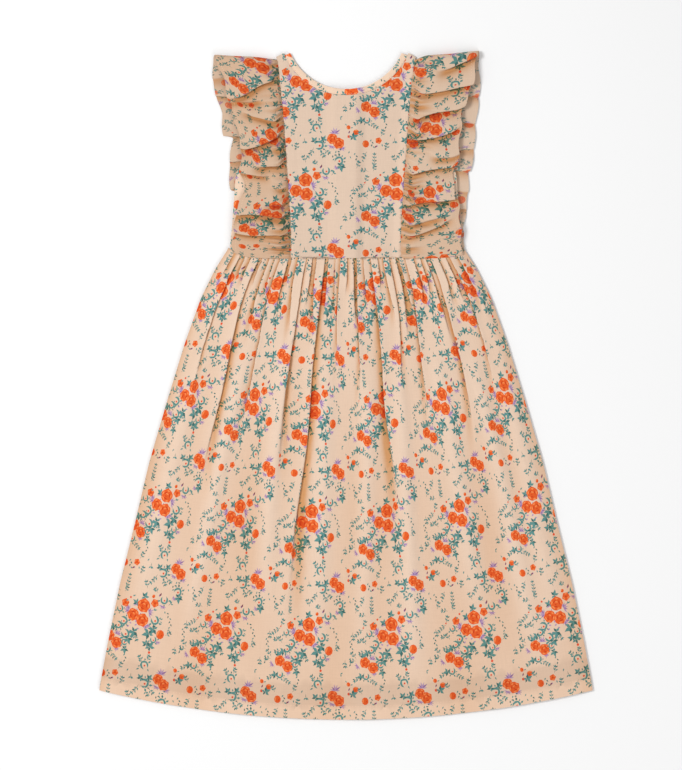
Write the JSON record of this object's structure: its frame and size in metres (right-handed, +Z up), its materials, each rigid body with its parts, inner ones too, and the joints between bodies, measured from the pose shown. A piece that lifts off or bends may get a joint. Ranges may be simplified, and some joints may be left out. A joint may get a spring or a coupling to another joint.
{
  "type": "ruffle dress",
  "caption": "Girl's sleeveless dress in sheer floral cotton, laid flat: round neck, gathered ruffles over the shoulders, gathered skirt.",
  "frame": {"origin": "centre of the bounding box's bottom face, on the surface that the dress lies on", "axes": "+Y from the hem to the neck, +X towards the viewer's right as the front is looked at, +Z up from the surface through back and front"},
  "size_m": [0.592, 0.8, 0.0166],
  "materials": {
    "floral_cotton": "fine open cotton weave with a printed floral, matt",
    "button": "polished"
  },
  "bodies": {
    "root": {"skirt_back": "floral_cotton", "skirt_front": "floral_cotton", "bodice_back_right": "floral_cotton", "bodice_back_left": "floral_cotton", "bodice_front": "floral_cotton", "neck_binding_back_right": "floral_cotton", "neck_binding_back_left": "floral_cotton", "neck_binding_front": "floral_cotton", "side_back_left": "floral_cotton", "side_front_left": "floral_cotton", "ruffle_left": "floral_cotton", "side_back_right": "floral_cotton", "side_front_right": "floral_cotton", "ruffle_right": "floral_cotton", "button_1": "button", "button_2": "button", "button_3": "button", "button_4": "button", "button_5": "button"}
  },
  "joints": []
}
